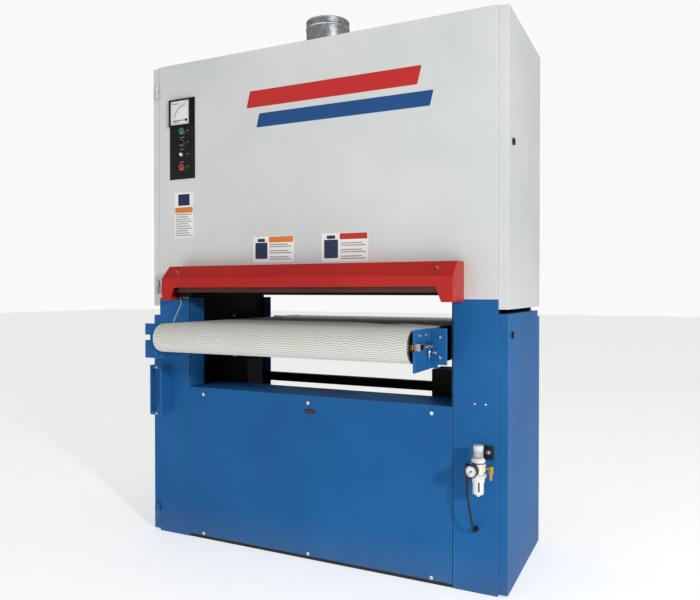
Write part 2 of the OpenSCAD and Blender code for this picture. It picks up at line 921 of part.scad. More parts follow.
module tension_yoke() {
    top = tension_z + tension_d / 2 + 60;
    color("#4a4e54") {
        both_sides() difference() {
            block([yoke_x, -25, tension_z - 30], [yoke_x + yoke_t, 25, top]);
            bar_x(yoke_x - 1, yoke_x + yoke_t + 1, 0, tension_z, head_shaft_d + 2 * running);
        }
        block([-yoke_x - eps, -25, top - 40], [yoke_x + eps, 25, top]);
        bar_z(top - eps, body_h - 24, 0, 0, rod_d);
    }
}

module tension_cylinder() {
    color("#8f979b") difference() {
        bar_z(tension_z + tension_d / 2 + 84, body_h - sheet, 0, 0, cylinder_d);
        bar_z(tension_z + tension_d / 2 + 83, body_h - 15, 0, 0, rod_d + 2 * running);
    }
}

module sanding_belt() {
    color("#7a4a2c") loop_x(-abrasive_w / 2, abrasive_w / 2, [0, drum_z], drum_d / 2 + belt_gap,
        tension_d / 2 + belt_gap, [0, belt_centres], abrasive_t);
}

module hold_down() {
    bar_x(-head_half, head_half, -hold_down_y, hold_down_z, hold_down_d);
    bar_x(-ox - head_plate_t, ox + head_plate_t, -hold_down_y, hold_down_z, head_shaft_d);
}

module front_hold_down() {
    color("#303236") hold_down();
}

module rear_hold_down() {
    color("#303236") mirror([0, 1, 0]) hold_down();
}

module main_motor() {
    x = [-ox + 12, -ox + 420];
    color("#4b5f6c") {
        difference() {
            bar_x(x[0], x[1], motor_c[0], motor_c[1], motor_d);
            bar_x(x[0] - 1, x[0] + 60, motor_c[0], motor_c[1], motor_shaft_d + 2 * running);
        }
        for (y = [-90, 60])
            block([x[0] + 60, motor_c[0] + y, base_t],
                [x[1] - 60, motor_c[0] + y + 30, motor_c[1] - motor_d / 2 + 40]);
    }
}

module motor_pulley() {
    color("#5c6166") {
        bar_x(pulley_x[0], pulley_x[1], motor_c[0], motor_c[1], motor_pulley_d);
        bar_x(pulley_x[0] - 8, -ox + 60, motor_c[0], motor_c[1], motor_shaft_d);
    }
}

module drive_belts() {
    to = [-motor_c[0], drum_z - motor_c[1]];
    color("#141416") for (x = [pulley_x[0] + 3, pulley_x[0] + 18, pulley_x[0] + 33])
        loop_x(x, x + 13, motor_c, motor_pulley_d / 2 + belt_gap, drum_pulley_d / 2 + belt_gap,
            to, drive_belt_t);
}

base_frame();
column_frames();
column_covers();
front_panel();
rear_panel();
upper_front_panel();
upper_rear_panel();
top_panel();
head_plates();
infeed_hood();
dust_port();
fasteners();
lift_housings();
control_plate();
ammeter();
ammeter_needle();
control_bezels();
start_button();
stop_button();
selector_knob();
upper_left_door();
upper_right_door();
lower_left_door();
lower_right_door();
door_hinges();
upper_left_latch();
upper_right_latch();
lower_left_latch();
lower_right_latch();
safety_bar();
limit_switch();
switch_cable();
filter_regulator();
regulator_knob();
filter_bowl();
air_gauge();
gauge_needle();
air_fittings();
inlet_fitting();
air_hose();
table_frame();
roller_brackets();
take_up_bearings();
front_roller();
drive_roller();
feed_belt();
feed_gearmotor();
scale_bracket();
left_lift_screw();
right_lift_screw();
contact_drum();
tension_roller();
tension_yoke();
tension_cylinder();
sanding_belt();
front_hold_down();
rear_hold_down();
main_motor();
motor_pulley();
drive_belts();
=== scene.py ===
# %% [markdown]
# # A wide-belt sander, dressed for its picture
# The solid model gives every part its size and place. This lesson puts on what a solid
# can't show: paint, rubber, chrome, the woven pattern on the feed belt, cords and labels.

# %% The frame
import json
import math
import bpy
import bmesh
from mathutils import Matrix, Vector


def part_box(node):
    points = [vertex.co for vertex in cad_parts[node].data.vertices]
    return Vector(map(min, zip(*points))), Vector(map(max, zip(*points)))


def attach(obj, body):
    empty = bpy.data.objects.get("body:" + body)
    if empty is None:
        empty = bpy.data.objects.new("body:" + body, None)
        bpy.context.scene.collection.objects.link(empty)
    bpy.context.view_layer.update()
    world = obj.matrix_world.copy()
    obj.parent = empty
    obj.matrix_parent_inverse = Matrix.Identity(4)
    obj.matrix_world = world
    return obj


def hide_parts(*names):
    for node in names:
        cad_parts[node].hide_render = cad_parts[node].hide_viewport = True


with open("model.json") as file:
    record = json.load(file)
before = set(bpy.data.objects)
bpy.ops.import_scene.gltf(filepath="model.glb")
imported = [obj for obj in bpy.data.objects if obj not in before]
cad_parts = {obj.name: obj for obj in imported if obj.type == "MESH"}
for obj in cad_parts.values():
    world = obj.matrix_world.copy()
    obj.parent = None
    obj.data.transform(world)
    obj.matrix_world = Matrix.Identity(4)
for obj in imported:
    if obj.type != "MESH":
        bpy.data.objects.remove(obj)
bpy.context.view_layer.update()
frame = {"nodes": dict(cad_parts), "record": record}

# %% [markdown]
# ## Camera
# The machine is seen from a little to its right, from about the height of the feed table,
# through a slightly long lens.

# %% Camera
lens = bpy.data.cameras.new("studio_lens")
lens.lens = 34.42
lens.sensor_width = 36.0
camera = bpy.data.objects.new("studio_camera", lens)
camera.location = (1.3416, -2.6911, 1.0981)
camera.rotation_euler = (math.radians(89.282), 0.0, math.radians(25.785))
bpy.context.scene.collection.objects.link(camera)
bpy.context.scene.camera = camera
print("camera at", tuple(camera.location))

# %% [markdown]
# ## One way to add a node
# Every finish below is a small tree of nodes. This one function adds any kind of node: its
# settings are keywords, and its inputs are numbers, colours or the output of another node.

# %% Colours and nodes
def linear(code):
    """An sRGB hex colour as the linear RGBA that a shader wants."""
    parts = [int(code[i:i + 2], 16) / 255 for i in (1, 3, 5)]
    return [c / 12.92 if c <= 0.04045 else ((c + 0.055) / 1.055) ** 2.4 for c in parts] + [1.0]


def add(tree, kind, inputs=None, **settings):
    """Adds a node of this kind to the tree, with its settings, values and links."""
    made = tree.nodes.new("ShaderNode" + kind)
    for name, value in settings.items():
        setattr(made, name, value)
    for name, value in (inputs or {}).items():
        if isinstance(value, bpy.types.NodeSocket):
            tree.links.new(value, made.inputs[name])
        else:
            made.inputs[name].default_value = value
    return made


def new_finish(name, **constants):
    """A material with a Principled shader whose even values are set on its own sockets."""
    made = bpy.data.materials.new(name)
    made.use_nodes = True
    tree = made.node_tree
    tree.nodes.clear()
    shader = add(tree, "BsdfPrincipled", constants)
    add(tree, "OutputMaterial", {"Surface": shader.outputs["BSDF"]})
    spot = add(tree, "TexCoord").outputs["Object"]
    return made, tree, shader, spot


def shades(tree, value, *stops):
    """Turns a value from 0 to 1 into a colour between hex stops, given as (place, hex)."""
    ramp = add(tree, "ValToRGB", {"Fac": value})
    while len(ramp.color_ramp.elements) < len(stops):
        ramp.color_ramp.elements.new(0.5)
    for element, (place, code) in zip(ramp.color_ramp.elements, stops):
        element.position = place
        element.color = linear(code)
    return ramp.outputs["Color"]


def spread(tree, value, low, high):
    """Stretches a pattern's middle part into the range from low to high."""
    made = add(tree, "MapRange", {"Value": value, "From Min": 0.3, "From Max": 0.7,
                                  "To Min": low, "To Max": high})
    return made.outputs["Result"]


print("white is", linear("#FFFFFF")[:3])

# %% [markdown]
# ## Powder-coated sheet steel
# The covers are bent sheet, sprayed with powder and baked. Up close such a coat has a faint
# orange peel, its colour drifts a little over a metre, and it is thinnest along the bends. A
# Bevel node rounds each bend in the light, and the angle between the rounded and the true
# normal says where a bend is. One mask paints every bend lighter: a painted highlight, and
# partly the thin, worn coat on the bend.

# %% Powder coat
PEEL_SIZE = 0.007      # metres; real peel is about 2 mm, drawn coarser so that it shows
CLOUD_SIZE = 0.45      # metres over which the colour drifts
BEND_RADIUS = 0.0028   # metres
PAINT_SPLIT = 1.07     # metres; the head is light above this height, the base is blue


def bend_mask(tree, radius):
    """A rounded normal, and a mask that is 1 on bends and 0 on flats."""
    rounded = add(tree, "Bevel", {"Radius": radius}, samples=4).outputs["Normal"]
    true = add(tree, "NewGeometry").outputs["True Normal"]
    match = add(tree, "VectorMath", {0: rounded, 1: true}, operation="DOT_PRODUCT")
    mask = add(tree, "MapRange", {"Value": match.outputs["Value"], "From Min": 0.995,
                                  "From Max": 0.86, "To Min": 0.0, "To Max": 1.0})
    return rounded, mask.outputs["Result"]


def powder_coat(name, shade, main, bend_highlight, rough=(0.34, 0.44), peel=0.05, gloss=0.5, grime=0.25,
                upper=None):
    """Baked powder on sheet steel: colours for its drift, painted highlights on its bends and, if
    any, its top.
    """
    made, tree, shader, spot = new_finish(name, **{"IOR": 1.5, "Specular IOR Level": gloss})
    cloud = add(tree, "TexNoise", {"Vector": spot, "Scale": 1 / CLOUD_SIZE, "Detail": 3.0})
    colour = shades(tree, cloud.outputs["Fac"], (0.3, shade), (0.7, main))
    # Dust and scuffs gather on the lowest hand's width
    height = add(tree, "SeparateXYZ", {"Vector": spot}).outputs["Z"]
    if upper:
        top = add(tree, "Math", {0: height, 1: PAINT_SPLIT}, operation="GREATER_THAN")
        colour = add(tree, "Mix", {"Factor": top.outputs["Value"], "A": colour,
                                   "B": linear(upper)}, data_type="RGBA").outputs["Result"]
    low = add(tree, "MapRange", {"Value": height, "From Min": 0.16, "From Max": 0.0})
    speck = add(tree, "TexNoise", {"Vector": spot, "Scale": 38.0, "Detail": 6.0,
                                   "Roughness": 0.7})
    dirty = add(tree, "Math", {0: low.outputs["Result"], 1: speck.outputs["Fac"]},
                operation="MULTIPLY")
    dirty = add(tree, "Math", {0: dirty.outputs["Value"], 1: grime}, operation="MULTIPLY")
    dusty = add(tree, "Mix", {"Factor": dirty.outputs["Value"], "A": colour,
                              "B": linear("#8C8880")}, data_type="RGBA")
    # The bends are painted lighter: a painted highlight, partly the coat worn thin there
    rounded, mask = bend_mask(tree, BEND_RADIUS)
    highlight_amount = add(tree, "Math", {0: mask, 1: 0.7}, operation="MULTIPLY").outputs["Value"]
    highlighted = add(tree, "Mix", {"Factor": highlight_amount, "A": dusty.outputs["Result"],
                              "B": linear(bend_highlight)}, data_type="RGBA")
    peel_noise = add(tree, "TexNoise", {"Vector": spot, "Scale": 1 / PEEL_SIZE,
                                        "Detail": 2.0}).outputs["Fac"]
    bump = add(tree, "Bump", {"Height": peel_noise, "Normal": rounded, "Strength": peel,
                              "Distance": 0.001})
    tree.links.new(highlighted.outputs["Result"], shader.inputs["Base Color"])
    tree.links.new(spread(tree, speck.outputs["Fac"], *rough), shader.inputs["Roughness"])
    tree.links.new(bump.outputs["Normal"], shader.inputs["Normal"])
    return made


# The third colour of each coat is the painted highlight on its bends
finishes = {
    "blue_enamel": powder_coat("powder_coat_blue", "#1E5A94", "#2466A2", "#63A3D0",
                               rough=(0.42, 0.54), gloss=0.07),
    "light_enamel": powder_coat("powder_coat_light_grey", "#CBD0CF", "#DADCDA", "#F2F3F1"),
    "red_enamel": powder_coat("powder_coat_red", "#B01A13", "#BF2219", "#DC6056", gloss=0.3),
    # The hood's red, darker: painted shade for the safety bar in the hood's shadow; the badge field
    # shares it
    "dark_red_enamel": powder_coat("dark_red_paint_and_painted_shade", "#4A1114", "#5E1719", "#7A2C2C"),
    # Darker than any primer: black paint and painted shade inside the machine together
    "black_steel": powder_coat("black_primer_and_painted_shade", "#030304", "#070708", "#19191C",
                               rough=(0.5, 0.66), peel=0.15, gloss=0.14),
    "motor_paint": powder_coat("enamel_on_cast_iron", "#3A4A55", "#465864", "#6C7C86",
                               rough=(0.4, 0.55), peel=0.4),
}
print("painted finishes:", sorted(finishes))

# %% [markdown]
# ## Bare and plated metal
# Zinc, chrome, brass and galvanised sheet differ in colour, in how rough they are and in the
# marks their making leaves: rings from a lathe, crystals in a zinc bath, fine scratches from
# handling. So one function draws the metal, and the pattern on it is chosen by name.

# %% Metals
def bare_metal(name, dark, bright, rough, mark, mark_size, depth=0.1):
    """A metal whose marks are spangle, lathe rings or fine scratches of this size."""
    made, tree, shader, spot = new_finish(name, Metallic=1.0)
    if mark == "spangle":
        cells = add(tree, "TexVoronoi", {"Vector": spot, "Scale": 1 / mark_size})
        grey = add(tree, "SeparateColor", {"Color": cells.outputs["Color"]}).outputs["Red"]
        pattern = add(tree, "MapRange", {"Value": grey, "To Min": 0.25,
                                         "To Max": 0.75}).outputs["Result"]
    elif mark == "rings":
        pattern = add(tree, "TexWave", {"Vector": spot, "Scale": 0.5 / mark_size,
                                        "Distortion": 1.5, "Detail": 2.0},
                      bands_direction="X").outputs["Fac"]
    else:
        along = add(tree, "Mapping", {"Vector": spot, "Scale": (1.0, 1.0, 6.0)})
        pattern = add(tree, "TexNoise", {"Vector": along.outputs["Vector"],
                                         "Scale": 1 / mark_size, "Detail": 4.0}).outputs["Fac"]
    stain = add(tree, "TexNoise", {"Vector": spot, "Scale": 25.0, "Detail": 4.0})
    both = add(tree, "Math", {0: pattern, 1: stain.outputs["Fac"]}, operation="ADD")
    half = add(tree, "Math", {0: both.outputs["Value"], 1: 0.5}, operation="MULTIPLY")
    tree.links.new(shades(tree, half.outputs["Value"], (0.3, dark), (0.65, bright)),
                   shader.inputs["Base Color"])
    tree.links.new(spread(tree, half.outputs["Value"], *rough), shader.inputs["Roughness"])
    rounded, _ = bend_mask(tree, 0.0008)
    bump = add(tree, "Bump", {"Height": pattern, "Normal": rounded, "Strength": depth,
                              "Distance": 0.0004})
    tree.links.new(bump.outputs["Normal"], shader.inputs["Normal"])
    return made


finishes.update({
    "galvanised": bare_metal("galvanised_sheet", "#B4BBBF", "#E9EDEF", (0.3, 0.42),
                             "spangle", 0.007),
    "bright_steel": bare_metal("turned_steel", "#84888B", "#B4B7B9", (0.22, 0.36),
                               "rings", 0.003),
    "zinc_fasteners": bare_metal("bright_zinc_plate", "#B7BBBE", "#E6E8E9", (0.16, 0.3),
                                 "scratches", 0.004),
    "chrome_bezels": bare_metal("bright_chrome", "#C8CBCE", "#F0F1F2", (0.06, 0.14),
                                "scratches", 0.005, 0.03),
    "brass_fitting": bare_metal("machined_brass", "#9C7A33", "#D1AB5E", (0.22, 0.36),
                                "rings", 0.002),
    "roller_steel": bare_metal("oiled_turned_steel", "#1D1815", "#4A3B30", (0.3, 0.48),
                               "rings", 0.003),
})
print("metals:", len(finishes) - 6)

# %% [markdown]
# ## Mouldings, rubber and abrasive
# Moulded plastic has a fine spark-eroded grain, rubber is matt and a little dusty, and the
# abrasive is a field of brown grit. Each is a noise of the right size, which drives the colour,
# the roughness and the relief together.

# %% Plastics and rubber
def moulded(name, shade, main, rough, grain, depth, ior=1.46, sheen=0.0, coat=0.0,
            edge=0.0008):
    """A plastic or rubber with an even grain of this size in metres; film has no edge."""
    made, tree, shader, spot = new_finish(name, **{"IOR": ior, "Sheen Weight": sheen,
                                                   "Coat Weight": coat})
    fine = add(tree, "TexNoise", {"Vector": spot, "Scale": 1 / grain, "Detail": 3.0})
    broad = add(tree, "TexNoise", {"Vector": spot, "Scale": 9.0, "Detail": 3.0})
    mixed = add(tree, "Mix", {"Factor": 0.5, "A": fine.outputs["Fac"],
                              "B": broad.outputs["Fac"]}, data_type="FLOAT")
    value = mixed.outputs["Result"]
    relief = {"Height": fine.outputs["Fac"], "Strength": depth, "Distance": 0.0005}
    if edge:
        relief["Normal"] = bend_mask(tree, edge)[0]
    bump = add(tree, "Bump", relief)
    tree.links.new(shades(tree, value, (0.35, shade), (0.65, main)),
                   shader.inputs["Base Color"])
    tree.links.new(spread(tree, value, *rough), shader.inputs["Roughness"])
    tree.links.new(bump.outputs["Normal"], shader.inputs["Normal"])
    return made


finishes.update({
    "black_plastic": moulded("black_moulded_plastic", "#0E0F11", "#17181B", (0.35, 0.5),
                             0.0015, 0.1),
    "green_plastic": moulded("green_push_button", "#0C6B3A", "#128A4B", (0.2, 0.3), 0.002,
                             0.03, coat=0.4),
    "red_plastic": moulded("red_push_button", "#B01512", "#CE1D18", (0.2, 0.3), 0.002,
                           0.03, coat=0.4),
    "white_plastic": moulded("white_nylon", "#DDDEDB", "#ECEDEA", (0.3, 0.42), 0.002, 0.06),
    "bowl_plastic": moulded("milky_polycarbonate", "#DADCDA", "#ECEEEC", (0.18, 0.28), 0.003,
                            0.03, ior=1.58, coat=0.3),
    "drum_rubber": moulded("ground_drum_rubber", "#1A1A1B", "#242425", (0.6, 0.75), 0.003, 0.2),
    "hose_rubber": moulded("black_polyurethane_hose", "#0D0D0F", "#161618", (0.3, 0.42),
                           0.003, 0.05),
    "cable_sheath": moulded("grey_pvc_sheath", "#A9ACAD", "#C2C4C4", (0.4, 0.5), 0.003, 0.05),
    "abrasive": moulded("bonded_grit", "#4A2412", "#8A4B28", (0.7, 0.9), 0.0012, 0.8),
})
lens_white = moulded("printed_dial_card", "#E4E6E4", "#F1F2F0", (0.3, 0.4), 0.004, 0.02,
                     coat=0.6)


def film(name, shade, main, coat=0.2):
    """Printed vinyl: nearly even, and too thin for its edge to be seen."""
    return moulded(name, shade, main, (0.28, 0.36), 0.006, 0.02, coat=coat, edge=0)


label_white = film("white_vinyl_label", "#E9EAE7", "#F3F3F1")
label_orange = film("orange_vinyl_label", "#DB782C", "#E2823A")
label_red = film("red_vinyl_label", "#C02A29", "#C52E2D")
label_blue = film("blue_vinyl_label", "#1C4C85", "#1F508B")
label_navy = film("navy_printed_field", "#1E2C4A", "#243454")
label_ink = film("printed_ink", "#26282B", "#34373B", coat=0.0)
label_grey = film("printed_grey", "#83868A", "#96999C", coat=0.0)
clear_dark = moulded("tinted_sight_glass", "#23282B", "#3A4145", (0.08, 0.15), 0.004, 0.02,
                     coat=0.8)
print("finishes by slot:", len(finishes))

# %% [markdown]
# ## Feed belt finish
# The conveyor belt is off-white rubber with a pressed pattern. Its valleys are painted darker
# as shade, and pale dust lies on it in patches. The pattern is real relief, made further down,
# and it stores its own depth on the mesh, so the painted shade can follow it exactly.

# %% Feed belt finish
def pressed_rubber():
    made, tree, shader, spot = new_finish("rough_top_rubber", **{"IOR": 1.48,
                                                                 "Sheen Weight": 0.15})
    depth = add(tree, "Attribute", attribute_name="rib_depth").outputs["Fac"]
    cloud = add(tree, "TexNoise", {"Vector": spot, "Scale": 7.0, "Detail": 5.0})
    grain = add(tree, "TexNoise", {"Vector": spot, "Scale": 420.0, "Detail": 2.0})
    # The deeper a point lies in a rib's valley, the darker it is painted: painted shade
    valley_shaded = shades(tree, depth, (0.0, "#E8E9E2"), (0.55, "#D2D4CD"), (1.0, "#868A85"))
    worn = add(tree, "MapRange", {"Value": cloud.outputs["Fac"], "From Min": 0.4,
                                  "From Max": 0.75, "To Min": 0.0, "To Max": 0.35})
    dusty = add(tree, "Mix", {"Factor": worn.outputs["Result"], "A": valley_shaded,
                              "B": linear("#C9C4B4")}, data_type="RGBA")
    bump = add(tree, "Bump", {"Height": grain.outputs["Fac"], "Strength": 0.2,
                              "Distance": 0.0004})
    tree.links.new(dusty.outputs["Result"], shader.inputs["Base Color"])
    tree.links.new(spread(tree, grain.outputs["Fac"], 0.62, 0.8), shader.inputs["Roughness"])
    tree.links.new(bump.outputs["Normal"], shader.inputs["Normal"])
    return made


finishes["feed_belt"] = pressed_rubber()

# %% [markdown]
# ## Dressing the CAD parts
# Most sheet parts already have their right shape. They keep it, and only take their finish by
# the material slot that the record gives them.

# %% Finish every CAD node
for part in frame["record"]["subparts"]:
    mesh = frame["nodes"][part["node"]].data
    mesh.materials.clear()
    mesh.materials.append(finishes[part["material_slot"]])
# The hinges are sprayed with the covers they hold, light on the head and blue below
hinges = frame["nodes"]["door_hinges"].data
# The third colour is the painted highlight on the hinges' bends
hinges.materials[0] = powder_coat("powder_coat_hinges", "#1E5A94", "#2466A2", "#7FA9C8",
                                  upper="#C6CBCA")

# %% [markdown]
# ## A small workshop of shapes
# New pieces start from a cube, a cone or a circle, which is moved, spun, extruded and bevelled.
# Every shape is made where it belongs, so the finished object stays at the origin, as a CAD
# node does. Soft edges matter more than anything else here: no real edge is a razor.

# %% Shapes
MM = 0.001
AXES = {"x": Matrix.Rotation(math.pi / 2, 4, "Y"), "z": Matrix.Identity(4),
        "y": Matrix.Rotation(-math.pi / 2, 4, "X")}


def add_block(bm, low, high):
    """A box between two corners in metres."""
    low, high = Vector(low), Vector(high)
    size = Matrix.Diagonal((high - low).to_4d())
    size[3][3] = 1.0
    made = bmesh.ops.create_cube(bm, size=1.0,
                                 matrix=Matrix.Translation((low + high) / 2) @ size)
    return made["verts"]


def add_bar(bm, start, axis, length, d, sides=32, d_end=None):
    """A round bar, hexagon or cone from start along x, y or z; a minus length goes back."""
    turn = AXES[axis]
    middle = Vector(start) + turn @ Vector((0, 0, length / 2))
    end = d if d_end is None else d_end
    if length < 0:
        turn = turn @ Matrix.Rotation(math.pi, 4, "X")
    made = bmesh.ops.create_cone(bm, cap_ends=True, segments=sides, radius1=d / 2,
                                 radius2=end / 2, depth=abs(length),
                                 matrix=Matrix.Translation(middle) @ turn)
    return made["verts"]


def add_lathe(bm, centre, profile, axis="z", steps=40):
    """Spins a closed outline of (radius, height) points round an axis through centre."""
    place = Matrix.Translation(Vector(centre)) @ AXES[axis]
    start = [bm.verts.new(place @ Vector((r, 0, h))) for r, h in profile]
    edges = [bm.edges.new((a, b)) for a, b in zip(start, start[1:] + start[:1])]
    axis_vector = (AXES[axis] @ Vector((0, 0, 1))).normalized()
    bmesh.ops.spin(bm, geom=start + edges, cent=Vector(centre), axis=axis_vector,
                   angle=2 * math.pi, steps=steps, use_merge=True)
    bmesh.ops.remove_doubles(bm, verts=bm.verts, dist=1e-6)


def soften(bm, width, segments=2, angle=30):
    """Rounds every edge sharper than the angle, by this width in metres."""
    sharp = [e for e in bm.edges
             if len(e.link_faces) == 2 and e.calc_face_angle(0) > math.radians(angle)]
    bmesh.ops.bevel(bm, geom=sharp, offset=width, segments=segments, affect="EDGES",
                    profile=0.5, material=-1, clamp_overlap=True)


def piece(name, bm, finish, body, stands_for=()):
    """Makes the shape an object that rides on a body and takes a finish."""
    bmesh.ops.recalc_face_normals(bm, faces=bm.faces)
    for face in bm.faces:
        face.smooth = True
    for edge in bm.edges:
        edge.smooth = edge.calc_face_angle(0) < math.radians(35)
    mesh = bpy.data.meshes.new(name)
    bm.to_mesh(mesh)
    bm.free()
    mesh.materials.append(finish)
    made = bpy.data.objects.new(name, mesh)
    bpy.context.scene.collection.objects.link(made)
    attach(made, body)
    if stands_for:
        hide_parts(*stands_for)
    print(f"{name}: {len(mesh.polygons)} faces on {body}")
    return made


# %% [markdown]
# ## Cords
# Two free leads show: a thin grey cable that drops from the limit switch into a gland, and the
# black air hose below the filter. Both are one smooth open curve through the same points as
# the solid model, which a Catmull-Rom spline rounds, and both end inside the column.

# %% Cords
def catmull(points, steps):
    """A smooth line through the points, with this many steps between each pair."""
    ends = [points[0] * 2 - points[1]] + points + [points[-1] * 2 - points[-2]]
    line = []
    for a, b, c, d in zip(ends, ends[1:], ends[2:], ends[3:]):
        for k in range(steps):
            t = k / steps
            line.append(0.5 * (2 * b + (c - a) * t + (2 * a - 5 * b + 4 * c - d) * t * t
                               + (3 * b - a - 3 * c + d) * t ** 3))
    return line + [points[-1]]


def free_cord(name, route, diameter, finish, node):
    """A held lead along the route."""
    line = catmull([Vector(p) * MM for p in route], 3)
    curve = bpy.data.curves.new(name, "CURVE")
    curve.dimensions = "3D"
    curve.bevel_depth = diameter / 2
    curve.bevel_resolution = 4
    curve.use_fill_caps = True
    spline = curve.splines.new("POLY")
    spline.points.add(len(line) - 1)
    for point, place in zip(spline.points, line):
        point.co = (*place, 1.0)
    curve.materials.append(finish)
    made = bpy.data.objects.new(name, curve)
    bpy.context.scene.collection.objects.link(made)
    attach(made, "cabinet")
    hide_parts(node)
    return made


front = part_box("column_covers")[0].y            # the machine's front plane
switch = (-646.0, 1073.0)                       # the limit switch's corner, x and z, in mm
air = Vector((724.0, front / MM - 64.0, 374.0)) # foot of the air unit, in mm
switch_steps = [(8, -25, 8), (8, -25, -6), (13, -27, -22), (12, -30, -36), (3, -33, -56),
                (-8, -36, -80), (-19, -40, -106), (-27, -38, -130), (-30, -26, -144),
                (-30, -14, -148), (-30, -6, -148)]
hose_steps = [(-41, 0, 90), (-41, 0, 74), (-41, -1, 50), (-40, -3, 20), (-37, -4, -12),
              (-32, -1, -48), (-27, 5, -86), (-25, 14, -114), (-25, 28, -132),
              (-25, 44, -139), (-25, 56, -139)]
free_cord("switch_lead", [(switch[0] + x, front / MM + y, switch[1] + z)
                          for x, y, z in switch_steps],
          0.004, finishes["cable_sheath"], "switch_cable")
free_cord("air_line", [tuple(air + Vector(p)) for p in hose_steps],
          0.008, finishes["hose_rubber"], "air_hose")

# %% [markdown]
# ## Feed belt
# A pressed herringbone of fine ribs runs across the belt, so that boards don't slip. It is the
# first thing the eye finds, so it is real relief: a flat grid is wrapped round the two
# rollers, its rows go up and down, and its columns shift them into a zigzag.

# %% Feed belt
RIB_PITCH = 9.0 * MM
ZIG_LENGTH = 25.0 * MM     # one slope of the zigzag
ZIG_SWING = 5.5 * MM
RIB_DEPTH = 1.1 * MM


def feed_belt():
    low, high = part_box("feed_belt")
    radius = (high.z - low.z) / 2
    reach = high.y - radius
    middle = (high.z + low.z) / 2
    half_turn = math.pi * radius
    around = 4 * reach + 2 * half_turn
    ribs = round(around / RIB_PITCH)
    columns = 2 * round((high.x - low.x) / ZIG_LENGTH / 2)

    def wrapped(way, sink):
        """The point this far round the belt, and this deep under its skin."""
        way %= around
        r = radius - sink
        if way < 2 * reach:
            return way - reach, middle + r
        if way < 2 * reach + half_turn:
            a = (way - 2 * reach) / radius
            return reach + r * math.sin(a), middle + r * math.cos(a)
        if way < 4 * reach + half_turn:
            return reach - (way - 2 * reach - half_turn), middle - r
        a = (way - 4 * reach - half_turn) / radius
        return -reach - r * math.sin(a), middle - r * math.cos(a)

    bm = bmesh.new()
    bmesh.ops.create_grid(bm, x_segments=columns, y_segments=4 * ribs, size=0.5)
    depth = bm.verts.layers.float.new("rib_depth")
    sinks = (0.0, 0.45, 1.0, 0.45)
    for v in bm.verts:
        column = round((v.co.x + 0.5) * columns)
        row = round((v.co.y + 0.5) * 4 * ribs)
        sink = sinks[row % 4]
        way = row / (4 * ribs) * around + (column % 2) * ZIG_SWING
        y, z = wrapped(way, sink * RIB_DEPTH)
        v[depth] = sink
        v.co = (low.x + (high.x - low.x) * column / columns, y, z)
    bmesh.ops.remove_doubles(bm, verts=bm.verts, dist=1e-5)
    rim = [e for e in bm.edges if e.is_boundary]
    walls = bmesh.ops.extrude_edge_only(bm, edges=rim)["geom"]
    for v in (g for g in walls if isinstance(g, bmesh.types.BMVert)):
        y = max(-reach, min(reach, v.co.y))
        outward = Vector((0, v.co.y - y, v.co.z - middle)).normalized()
        foot = Vector((v.co.x, y, middle))
        v.co = foot + outward * (radius - 2.9 * MM)
    bmesh.ops.bridge_loops(bm, edges=[e for e in bm.edges if e.is_boundary])
    return bm, ribs


belt_mesh, rib_count = feed_belt()
piece("feed_belt_cover", belt_mesh, finishes["feed_belt"], "table", ["feed_belt"])
print("ribs round the belt:", rib_count)

# %% [markdown]
# ## Labels and stripes
# Thin vinyl stickers give the front its rhythm. They are blank here: a coloured band over a
# white field with plain grey bars, and two plain stripes on the head. Each is a thin plate
# with rounded corners that stands a fraction of a millimetre off the paint.

# %% Labels
STICKER = 0.5 * MM


def sticker(name, x, z, finish, layer=0, lean=0.0):
    """A thin plate on the front plane from x[0] to x[1] and z[0] to z[1], in mm."""
    bm = bmesh.new()
    back = front - layer * STICKER
    add_block(bm, (x[0] * MM, back - STICKER, z[0] * MM), (x[1] * MM, back, z[1] * MM))
    for v in bm.verts:
        v.co.x += lean * (v.co.z - z[0] * MM)
    corners = [e for e in bm.edges
               if abs(e.verts[0].co.y - e.verts[1].co.y) > STICKER / 2]
    bmesh.ops.bevel(bm, geom=corners, offset=4 * MM, segments=3, affect="EDGES",
                    profile=0.5, material=-1, clamp_overlap=True)
    return piece(name, bm, finish, "cabinet")


labels = {
    "left_label": ((-690, -586), (1340, 1543), (1452, 1476), label_orange, "vertical"),
    "middle_label": ((-268, -68), (1222, 1330), (1304, 1328), label_orange, "wide"),
    "right_label": ((62, 268), (1218, 1332), (1306, 1330), label_red, "wide"),
}
for name, (x, z, band, colour, form) in labels.items():
    sticker(name, x, z, label_white)
    if form == "vertical":
        fields = [((x[0] + 20, x[1] - 20), (band[1] + 8, z[1] - 8))]
        band_x = (x[0] + 3, x[1] - 3)
        bars = [(z[0] + 8 + 10.5 * k, x[0] + 8, x[1] - 8 - 11 * (k % 3)) for k in range(10)]
    else:
        split = x[0] + 0.4 * (x[1] - x[0])
        fields = [((x[0] + 12, split - 8), (z[0] + 14, z[1] - 26)),
                  ((x[0] + 24, split - 20), (z[1] - 23, z[1] - 9))]
        band_x = (split, x[1] - 3)
        rows = (10, 19, 36, 45, 62, 71)
        bars = [(z[0] + row, split + 4, x[1] - 10 - 16 * (k % 2)) for k, row in enumerate(rows)]
    sticker(name + "_band", band_x, band, colour, layer=1)
    for k, (sx, sz) in enumerate(fields):
        sticker(f"{name}_field_{k}", sx, sz, label_navy, layer=1)
    bm = bmesh.new()
    for height, left, right in bars:
        add_block(bm, (left * MM, front - 2 * STICKER, height * MM),
                  (right * MM, front - STICKER, (height + 4) * MM))
    piece(name + "_bars", bm, label_grey, "cabinet")
sticker("head_stripe_red", (-300, 470), (1878, 1948), label_red, lean=0.25)
sticker("head_stripe_blue", (-250, 520), (1792, 1850), label_blue, lean=0.25)

# %% [markdown]
# ## The badge
# A small plain oval plate sits near the top of the lower panel, with a raised rim.

